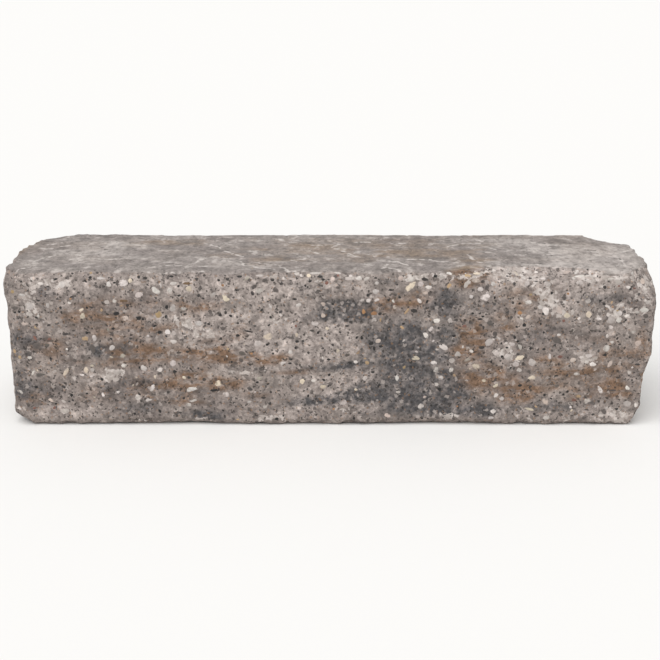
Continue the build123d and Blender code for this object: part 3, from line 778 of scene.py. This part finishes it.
def stone_rings(places, outward, sizes, turns, rings, segments, lumps, seed):
    """Stones laid flat on the skin. Each is a set of rings about its middle, and a ring's point lies along
    the stone's long way by cos(angle) and along its wide way by sin(angle), times half the stone's size,
    times the ring's share, times 1 plus noise that goes round with the angle and makes each outline its
    own."""
    angle = np.linspace(0, 2 * np.pi, segments, endpoint=False)
    circle = np.stack([np.cos(angle), np.sin(angle), 0 * angle], axis=-1)
    own = np.arange(len(places))[:, None, None] * outline_step
    swell = 1 + lumps * layered_noise(circle + own, outline_wavelength, 2, seed)
    level = np.abs(outward[:, 2:]) > level_limit
    along = unit(np.cross(np.where(level, (0, 1, 0), (0, 0, 1)), outward))
    up = np.cross(outward, along)
    cos, sin = np.cos(turns)[:, None], np.sin(turns)[:, None]
    ways = np.stack([cos * along + sin * up, cos * up - sin * along], axis=1)
    rim = (swell[..., None] * circle[:, :2] * sizes[:, None] / 2 * MM) @ ways
    belts = places[:, None, None] + np.array(rings)[:, None, None] * rim[:, None]
    middle = places[:, None]
    return np.concatenate([middle, belts.reshape(len(places), -1, 3), middle], axis=1)


def map_corners(*corners):
    """Places on the map in a row, from the segments and rings of each corner of many faces."""
    places = [np.stack(np.broadcast_arrays(*corner), axis=-1) for corner in corners]
    return np.stack(places, axis=-2).reshape(-1, 2)


def stone_faces(count, rings, segments):
    """Faces of balls of rings and segments: triangles round both poles and quads between them, with each
    ball's faces laid on its own square of the map by segment and ring."""
    step = np.arange(segments)
    after = (step + 1) % segments
    ring = np.arange(1, rings - 1)[:, None]
    first = 1 + (ring - 1) * segments
    second = first + segments
    last = 1 + (rings - 2) * segments
    quad = np.stack([first + step, second + step, second + after, first + after], axis=-1).reshape(-1, 4)
    top = np.column_stack([0 * step, 1 + step, 1 + after])
    foot = np.column_stack([0 * step + last + segments, last + after, last + step])
    corners = np.concatenate([quad.ravel(), top.ravel(), foot.ravel()])
    lengths = np.concatenate([np.full(len(quad), 4), np.full(2 * segments, 3)])
    starts = np.concatenate([[0], lengths.cumsum()[:-1]])
    flat = np.concatenate([
        map_corners((step, ring), (step, ring + 1), (step + 1, ring + 1), (step + 1, ring)),
        map_corners((step + 0.5, 0), (step, 1), (step + 1, 1)),
        map_corners((step + 0.5, rings), (step + 1, rings - 1), (step, rings - 1)),
    ]) / (segments, rings)
    ball_points = 2 + (rings - 1) * segments
    ball = np.arange(count)
    all_corners = (corners + ball[:, None] * ball_points).ravel()
    all_starts = (starts + ball[:, None] * len(corners)).ravel()
    side = int(np.ceil(np.sqrt(count)))
    square = np.column_stack([ball % side, ball // side])
    all_map = (square[:, None] + map_margin + (1 - 2 * map_margin) * flat) / side
    return all_corners, all_starts, all_map


def paste_colours(vertices):
    """The colour of the concrete round vertices: plain paste, then each cloud's colour over it by the cloud's
    strength there, and the pressed skin's last."""
    colour = np.tile(linear(plain_paste), (len(vertices), 1))
    for cloud, hex_colour in paste_clouds:
        share = np.clip(cloud[vertices], 0, 1)[:, None]
        colour = colour * (1 - share) + share * linear(hex_colour)
    return colour


def apart(places, sizes, fixed, parts=12):
    """Which stones stay: those that no longer stone overlaps, and the fixed ones whatever lies beside them.
    Their numbers part stones of one length, and the gaps are taken in parts to save memory."""
    reach = sizes.mean(axis=1) / 2 * MM
    rank = np.where(fixed, fixed_rank, sizes[:, 0]) + np.arange(len(sizes)) * rank_step
    keep = np.ones(len(places), bool)
    for part in np.array_split(np.arange(len(places)), parts):
        gap = np.linalg.norm(places[part, None] - places[None], axis=-1)
        hit = (gap < overlap * (reach[part, None] + reach[None])) & (rank[None] > rank[part, None])
        keep[part] = fixed[part] | ~hit.any(axis=1)
    return keep


def set_stones(name, kinds, groups, front_share, proud, rings, segments, lumps, smooth, seed):
    """Makes one piece of many stones from groups of vertices, places, directions, sizes, turns, kinds and
    fixed marks. Each stone's rings are wrapped onto the skin, then raised by proud (1 - share^2) less the
    rim's dip times share^2, so a stone follows the wear of the arris it sits in; its last point is its root
    inside the concrete. The front keeps only a share of the scattered stones, and none that is long."""
    vertices, places, outward, sizes, turns, kind, fixed = (np.concatenate(part) for part in zip(*groups))
    on_front = (outward[:, 1] < -front_limit) & ~fixed
    off_bed = outward[:, 2] > -level_limit
    drop = on_front & ((sizes[:, 0] > small_limit) | (rng.random(len(places)) > front_share))
    keep = apart(places, sizes, fixed) & off_bed & ~drop
    vertices, places, outward, sizes, turns, kind, fixed = (
        part[keep] for part in (vertices, places, outward, sizes, turns, kind, fixed)
    )
    flat = stone_rings(places, outward, sizes, turns, rings, segments, lumps, seed)
    corners, starts, flat_map = stone_faces(len(places), len(rings) + 1, segments)
    piece = add_piece(name, flat.reshape(-1, 3), corners, starts, smooth)
    add_map(piece, flat_map)
    laid = fitted(piece, flat.reshape(-1, 3), stone).reshape(flat.shape)
    share = np.concatenate([[0], np.repeat(rings, segments)])
    rise = np.append(proud * (1 - share**2) - rim_dip * share**2, -root_depth)
    surface = (laid + rise[:, None] * MM * outward[:, None]).reshape(-1, 3)
    surface[:, 2] = np.maximum(surface[:, 2], block_low[2])
    move_points(piece, surface)
    tint = np.array([linear(stone_colours[k]) for k in kinds])[kind]
    tint = tint * rng.uniform(*np.where(fixed[:, None], placed_shades, scattered_shades).T)[:, None]
    tint = tint * rng.uniform(*hue_drift, tint.shape)
    coat = rng.uniform(*np.where(fixed[:, None], placed_coats, scattered_coats).T)
    add_value(piece, "stone_colour", np.repeat(tint, len(rise), axis=0))
    add_value(piece, "paste_colour", np.repeat(paste_colours(vertices), len(rise), axis=0))
    add_value(piece, "coating", (coat[:, None] + rim_coat * np.append(share, 1) ** 2).ravel())
    return piece


gravel_kinds = [row[0] for row in gravel_mix]
gravel_groups = []
for kind, rows in front_stones.items():
    number = np.full(len(rows), gravel_kinds.index(kind))
    gravel_groups.append((*placed_stones(rows), number, np.ones(len(rows), bool)))
for number, (_, share, shortest, longest) in enumerate(gravel_mix):
    count = int(share * gravel_count)
    sizes = random_sizes(count, shortest, longest, power=3, slimmest=0.55)
    turns = rng.uniform(0, np.pi, count)
    number = np.full(count, number)
    gravel_groups.append((*scattered_places(count), sizes, turns, number, np.zeros(count, bool)))
gravel = set_stones(
    "river_gravel", gravel_kinds, gravel_groups, front_share=0.25, proud=0.28,
    rings=(0.55, 0.88, 1), segments=12, lumps=0.38, smooth=True, seed=51,
)

sizes = random_sizes(grit_count, *grit_lengths, power=2, slimmest=0.5)
placed_kind, scattered_kind = (
    rng.choice(len(grit_shares), count, p=list(grit_shares.values()))
    for count in (len(front_grit), grit_count)
)
turns = rng.uniform(0, np.pi, grit_count)
grit_groups = [
    (*placed_stones(front_grit), placed_kind, np.ones(len(front_grit), bool)),
    (*scattered_places(grit_count), sizes, turns, scattered_kind, np.zeros(grit_count, bool)),
]
grit = set_stones(
    "crushed_basalt", list(grit_shares), grit_groups, front_share=0.6, proud=0.15,
    rings=(0.75, 1), segments=7, lumps=0.45, smooth=False, seed=52,
)

# Materials


def add(tree, kind, inputs, out=0, **settings):
    """Adds a node with its settings and returns one of its outputs; each input is linked to an output or set,
    by hex if it is a colour. A Mix takes its share at 0, numbers at 2 and 3, and colours at 6 and 7, which
    come out at 2. A MapRange takes its value at 0 and carries the levels at 1 and 2 to those at 3 and 4."""
    node = tree.nodes.new("ShaderNode" + kind)
    for name, value in settings.items():
        setattr(node, name, value)
    for socket, value in inputs.items():
        if isinstance(value, bpy.types.NodeSocket):
            tree.links.new(value, node.inputs[socket])
        else:
            node.inputs[socket].default_value = (*linear(value), 1) if isinstance(value, str) else value
    return None if out is None else node.outputs[out]


def new_material(name):
    """A material with an empty node tree."""
    material = bpy.data.materials.new(name)
    material.use_nodes = True
    material.node_tree.nodes.clear()
    return material, material.node_tree


# Dry-pressed concrete, tumbled: grey cement paste full of sand, clouded brown and anthracite by oxide pigment
# that was stirred in only half way, pale where lime has bloomed or an arris is rubbed, and smooth and scuffed
# where it was pressed. To the eye it is dull and dusty, and no part of it shines.
concrete, tree = new_material("tumbled_dry_pressed_concrete")
place = add(tree, "TexCoord", {}, "Object")

# Grains have torn outlines: places moved by up to half of 2.6 mm by noise of 2.2 mm
torn = add(tree, "TexNoise", {"Vector": place, "Scale": 1 / (2.2 * MM), "Detail": 1}, "Color")
torn = add(tree, "VectorMath", {0: torn, 1: (-0.5, -0.5, -0.5)}, operation="ADD")
torn = add(tree, "VectorMath", {0: torn, 1: (2.6 * MM,) * 3, 2: place}, operation="MULTIPLY_ADD")

# Pigment is drawn out along the stone. On the top the press wiped it, and those marks are drawn longer from
# front to back than they are, because the camera sees the top at a low angle and shortens them.
drawn = add(tree, "VectorMath", {0: place, 1: (0.40, 1, 1)}, operation="MULTIPLY")
wiped = add(tree, "VectorMath", {0: place, 1: (0.6, 0.45, 1)}, operation="MULTIPLY")
tone, mottle, lumps, streak, smear, flecks = (
    add(tree, "TexNoise", {"Vector": space, "Scale": 1 / (size * MM), "Detail": detail, "Roughness": gain})
    for space, size, detail, gain in (
        (place, 34, 2, 0.5),  # from one shovelful of the mix to the next
        (place, 10, 3, 0.55),  # patches as large as the gravel
        (place, 4.5, 3, 0.6),  # crumbs of paste
        (drawn, 7, 4, 0.65),  # pigment
        (wiped, 7, 3, 0.6),  # strokes of the press
        (wiped, 2.6, 2, 0.6),  # what broke off in them
    )
)

# Sand is mostly under 1 mm, too fine to show in the render, so its grains are drawn at 1.5 mm. Fine gravel of
# 3.2 mm and crumbs of 6.5 mm are drawn as large as they are.
sand, fines, clumps = (
    add(tree, "TexVoronoi", {"Vector": torn, "Scale": 1 / (size * MM)}, "Color") for size in (1.5, 3.2, 6.5)
)
sand_red, sand_green = (add(tree, "SeparateColor", {0: sand}, k) for k in (0, 1))
fines_red, fines_green, fines_blue = (add(tree, "SeparateColor", {0: fines}, k) for k in (0, 1, 2))
clumps_red = add(tree, "SeparateColor", {0: clumps}, 0)

# Clouds lie whole on the pressed skin, and on the rough paste they are broken by a pattern between two levels
crumbled = add(tree, "Mix", {0: 0.35, 2: lumps, 3: mottle})
whole_clouds, broken_clouds = [], []
for name, pattern, low, high, least in (
    ("pale_grey_cloud", crumbled, 0.36, 0.60, 0.30),
    ("anthracite_cloud", crumbled, 0.66, 0.40, 0.35),
    ("brown_cloud", streak, 0.40, 0.58, 0.15),
):
    cloud = add(tree, "Attribute", {}, "Fac", attribute_name=name)
    broken = add(tree, "MapRange", {0: pattern, 1: low, 2: high, 3: least, 4: 1.1})
    whole_clouds.append(cloud)
    broken_clouds.append(add(tree, "Math", {0: cloud, 1: broken}, operation="MULTIPLY", use_clamp=True))

# Rough paste with grains of sand and fine gravel, and pressed skin, finer and paler, with strokes and small
# pores. For each: two tones, clouds and their colours, shades (pattern, two levels, darkest, lightest), then
# spots over them (pattern, two levels, cover, colour)
share = add(tree, "MapRange", {0: tone, 1: 0.35, 2: 0.65})
surfaces = []
for dark, light, clouds, cloud_colours, shades, spots in (
    (
        "#827873", "#8f857f", broken_clouds, (pale_grey_paste, anthracite_paste, "#77604f"),
        (
            (mottle, 0.3, 0.7, 0.82, 1.20), (lumps, 0.3, 0.7, 0.84, 1.16), (clumps_red, 0, 1, 0.85, 1.15),
            (fines_red, 0, 1, 0.80, 1.20), (sand_red, 0, 1, 0.80, 1.20),
        ),
        (
            (fines_green, 0.06, 0.03, 0.75, "#4a4543"), (fines_green, 0.95, 0.97, 0.50, "#b9aea7"),
            (sand_green, 0.08, 0.05, 0.80, "#36322f"), (sand_green, 0.96, 0.98, 0.40, "#94704f"),
        ),
    ),
    (
        "#827a76", "#908883", whole_clouds, ("#a69e99", "#75706d", "#857464"),
        (
            (smear, 0.3, 0.7, 0.78, 1.24), (mottle, 0.3, 0.7, 0.84, 1.17), (flecks, 0.3, 0.7, 0.82, 1.18),
            (sand_red, 0, 1, 0.88, 1.12),
        ),
        (
            (smear, 0.59, 0.69, 0.65, "#bdb5af"), (smear, 0.41, 0.32, 0.55, "#6b645f"),
            (fines_green, 0.025, 0.01, 0.55, "#534e4b"), (sand_green, 0.05, 0.03, 0.6, "#534e4b"),
        ),
    ),
):
    colour = add(tree, "Mix", {0: share, 6: dark, 7: light}, 2, data_type="RGBA")
    for cloud, cloud_colour in zip(clouds, cloud_colours):
        colour = add(tree, "Mix", {0: cloud, 6: colour, 7: cloud_colour}, 2, data_type="RGBA")
    for pattern, low, high, least, most in shades:
        shade = add(tree, "MapRange", {0: pattern, 1: low, 2: high, 3: least, 4: most})
        colour = add(tree, "Mix", {0: 1.0, 6: colour, 7: shade}, 2, data_type="RGBA", blend_type="MULTIPLY")
    for pattern, low, high, most, spot_colour in spots:
        spot = add(tree, "MapRange", {0: pattern, 1: low, 2: high, 3: 0.0, 4: most})
        colour = add(tree, "Mix", {0: spot, 6: colour, 7: spot_colour}, 2, data_type="RGBA")
    surfaces.append(colour)
paste, skin = surfaces

# Lime bloom on the rough paste, in whole crumbs and grains
clod = add(tree, "Mix", {0: 0.5, 2: clumps_red, 3: fines_blue})
chalk = add(tree, "Attribute", {}, "Fac", attribute_name="lime_bloom")
crumbs = add(tree, "Math", {0: lumps, 1: 1.6, 2: -1.2}, operation="MULTIPLY_ADD")
chalk = add(tree, "Math", {0: chalk, 1: 0.95, 2: crumbs}, operation="MULTIPLY_ADD")
chalk = add(tree, "Math", {0: chalk, 1: clod}, operation="SUBTRACT")
chalk = add(tree, "MapRange", {0: chalk, 1: -0.05, 2: 0.13, 3: 0.0, 4: 0.88})
lime = add(tree, "Mix", {0: fines_red, 6: "#a89e97", 7: "#d3cac4"}, 2, data_type="RGBA")
paste = add(tree, "Mix", {0: chalk, 6: paste, 7: lime}, 2, data_type="RGBA")

# Pale scuffs on the pressed skin, within 2.2 to 3.4 mm of their lines and broken by two patterns
near = add(tree, "Attribute", {}, "Fac", attribute_name="scuff_gap")
near = add(tree, "MapRange", {0: near, 1: 3.4, 2: 2.2})
scuff = add(tree, "Attribute", {}, "Fac", attribute_name="scuff_left")
scuff = add(tree, "Math", {0: scuff}, operation="ABSOLUTE")
for pattern in (lumps, flecks):
    scuff = add(tree, "Math", {0: pattern, 1: -6.0, 2: scuff}, operation="MULTIPLY_ADD")
scuff = add(tree, "MapRange", {0: scuff, 1: -4.3, 2: -6.0, 3: 0.0, 4: 0.9})
scuff = add(tree, "Math", {0: scuff, 1: near}, operation="MULTIPLY")
skin = add(tree, "Mix", {0: scuff, 6: skin, 7: "#c5bdb7"}, 2, data_type="RGBA")

surface = add(tree, "Attribute", {}, "Fac", attribute_name="pressed_skin")
surface = add(tree, "Mix", {0: surface, 6: paste, 7: skin}, 2, data_type="RGBA")
grains = add(tree, "Math", {0: sand_red, 1: 0.35, 2: lumps}, operation="MULTIPLY_ADD")
bump = add(tree, "Bump", {"Height": grains, "Strength": 0.5, "Distance": 0.5 * MM})
finish = {"Base Color": surface, "Normal": bump, "Roughness": 0.92, "Specular IOR Level": 0.3}
add(tree, "OutputMaterial", {"Surface": add(tree, "BsdfPrincipled", finish)}, None)
stone.data.materials.append(concrete)

# River gravel, worn round and smooth by water, and crushed basalt, broken to flat facets and near black. To
# the eye each stone is of one colour, veined at 2.5 mm, under a film of cement dust that is broken at 3 mm.
for piece, name, roughness, dust in (
    (gravel, "river_gravel_dusted", 0.7, 0.92), (grit, "crushed_basalt_dusted", 0.75, 0.25),
):
    material, tree = new_material(name)
    place = add(tree, "TexCoord", {}, "Object")
    own = add(tree, "Attribute", {}, "Color", attribute_name="stone_colour")
    veins = add(tree, "TexNoise", {"Vector": place, "Scale": 1 / (2.5 * MM), "Detail": 3})
    film = add(tree, "TexNoise", {"Vector": place, "Scale": 1 / (3.0 * MM), "Detail": 4, "Roughness": 0.65})
    shade = add(tree, "MapRange", {0: veins, 1: 0.3, 2: 0.7, 3: 0.84, 4: 1.12})
    colour = add(tree, "Mix", {0: 1.0, 6: own, 7: shade}, 2, data_type="RGBA", blend_type="MULTIPLY")
    coating = add(tree, "Attribute", {}, "Fac", attribute_name="coating")
    coating = add(tree, "Math", {0: film, 1: coating}, operation="ADD")
    coating = add(tree, "MapRange", {0: coating, 1: 0.56, 2: 0.74, 3: 0.0, 4: dust})
    paste = add(tree, "Attribute", {}, "Color", attribute_name="paste_colour")
    colour = add(tree, "Mix", {0: coating, 6: colour, 7: paste}, 2, data_type="RGBA")
    bump = add(tree, "Bump", {"Height": film, "Strength": 0.5, "Distance": 0.25 * MM})
    finish = {"Base Color": colour, "Normal": bump, "Roughness": roughness, "Specular IOR Level": 0.4}
    add(tree, "OutputMaterial", {"Surface": add(tree, "BsdfPrincipled", finish)}, None)
    piece.data.materials.append(material)

for piece in (stone, gravel, grit):
    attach(piece, "root")
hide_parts(node_name)

# Studio: a wide pale floor, an even white sky and one broad soft lamp from above on the left
floor_half = 12  # metres
sky_strength = 0.55
lamp_strength = 2.4
lamp_spread = np.radians(60)
lamp_turn = np.radians((28, -16, 0))

floor_corners = np.array([(-1.0, -1, 0), (1, -1, 0), (1, 1, 0), (-1, 1, 0)]) * floor_half
floor = add_piece("studio_floor", floor_corners, np.arange(4), np.array([0]), False)
# Uncoated white paper, rolled: pale and even to the eye, with no gloss
paper, tree = new_material("white_paper_matt")
add(tree, "OutputMaterial", {"Surface": add(tree, "BsdfDiffuse", {"Color": "#eae9e7"})}, None)
floor.data.materials.append(paper)

world = bpy.data.worlds.new("studio")
world.use_nodes = True
tree = world.node_tree
tree.nodes.clear()
direct = add(tree, "LightPath", {}, "Is Camera Ray")
for ray in ("Is Glossy Ray", "Is Transmission Ray"):
    direct = add(tree, "Math", {0: direct, 1: add(tree, "LightPath", {}, ray)}, operation="MAXIMUM")
sky = add(tree, "Background", {"Color": "#ffffff", "Strength": sky_strength})
white = add(tree, "Background", {"Color": "#ffffff", "Strength": 1.0})
add(tree, "OutputWorld", {"Surface": add(tree, "MixShader", {0: direct, 1: sky, 2: white})}, None)
bpy.context.scene.world = world

lamp = bpy.data.lights.new("soft_lamp", "SUN")
lamp.energy = lamp_strength
lamp.angle = lamp_spread
lamp_object = bpy.data.objects.new("soft_lamp", lamp)
lamp_object.rotation_euler = lamp_turn
bpy.context.scene.collection.objects.link(lamp_object)

camera = bpy.data.cameras.new("camera")
camera.lens = lens_mm
camera.sensor_width = sensor_mm
camera_object = bpy.data.objects.new("camera", camera)
camera_object.location = camera_place
camera_object.rotation_euler = (np.pi / 2 - camera_fall, 0, 0)
bpy.context.scene.collection.objects.link(camera_object)
bpy.context.scene.camera = camera_object
bpy.context.scene.view_settings.view_transform = "Standard"
